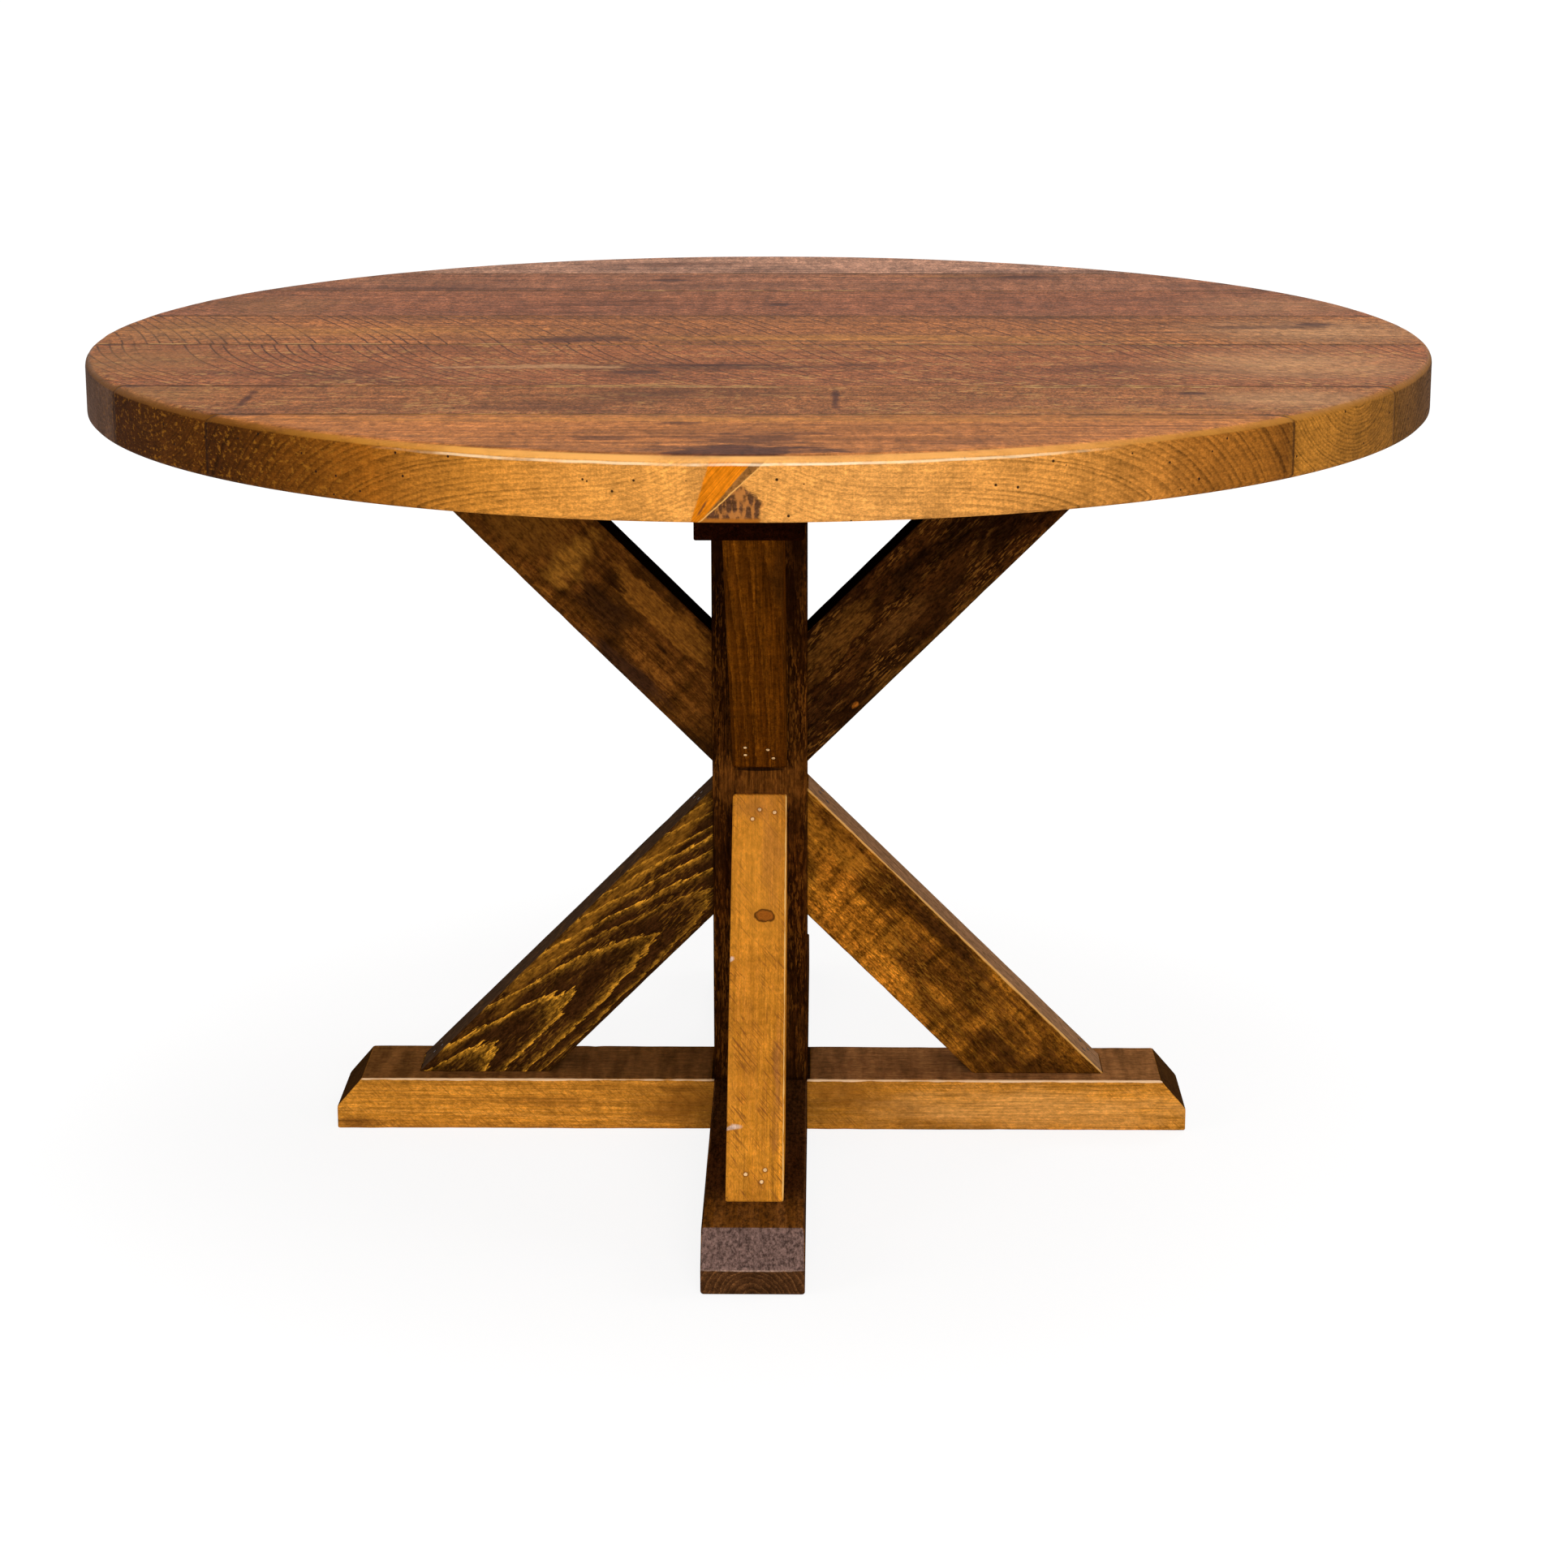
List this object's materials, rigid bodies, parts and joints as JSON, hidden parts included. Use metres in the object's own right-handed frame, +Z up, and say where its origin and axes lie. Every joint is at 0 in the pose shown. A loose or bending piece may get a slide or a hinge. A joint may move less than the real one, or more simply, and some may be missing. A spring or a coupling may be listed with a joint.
{
  "type": "sawbuck table",
  "caption": "Round plank-top dining table on a square post, with slanted braces, crossed cleats under the top and crossed chamfered feet.",
  "frame": {"origin": "on the floor under the axis of the post", "axes": "+Z up, +X along the top boards to the right, -Y towards the front"},
  "size_m": [1.2191, 1.219, 0.762],
  "materials": {
    "top_wood": "stained pine, satin lacquer",
    "frame_wood": "dark stained pine, satin lacquer",
    "dowel_wood": "bare hardwood",
    "steel": "zinc plated"
  },
  "bodies": {
    "root": {"top_board_1": "top_wood", "top_board_2": "top_wood", "top_board_3": "top_wood", "top_board_4": "top_wood", "top_board_5": "top_wood", "top_board_6": "top_wood", "top_board_7": "top_wood", "seam_dowels": "dowel_wood", "cleat_front_back": "frame_wood", "cleat_side_to_side": "frame_wood", "foot_front_back": "frame_wood", "foot_side_to_side": "frame_wood", "post": "frame_wood", "upper_brace_front": "frame_wood", "upper_brace_back": "frame_wood", "upper_brace_left": "frame_wood", "upper_brace_right": "frame_wood", "lower_brace_front": "frame_wood", "lower_brace_back": "frame_wood", "lower_brace_left": "frame_wood", "lower_brace_right": "frame_wood", "foot_lag_screw": "steel", "foot_lag_washer": "steel", "head_lag_screw": "steel", "head_lag_washer": "steel", "top_screws": "steel", "upper_brace_post_nails": "steel", "upper_brace_cleat_nails": "steel", "lower_brace_post_nails": "steel", "lower_brace_foot_nails": "steel"}
  },
  "joints": []
}
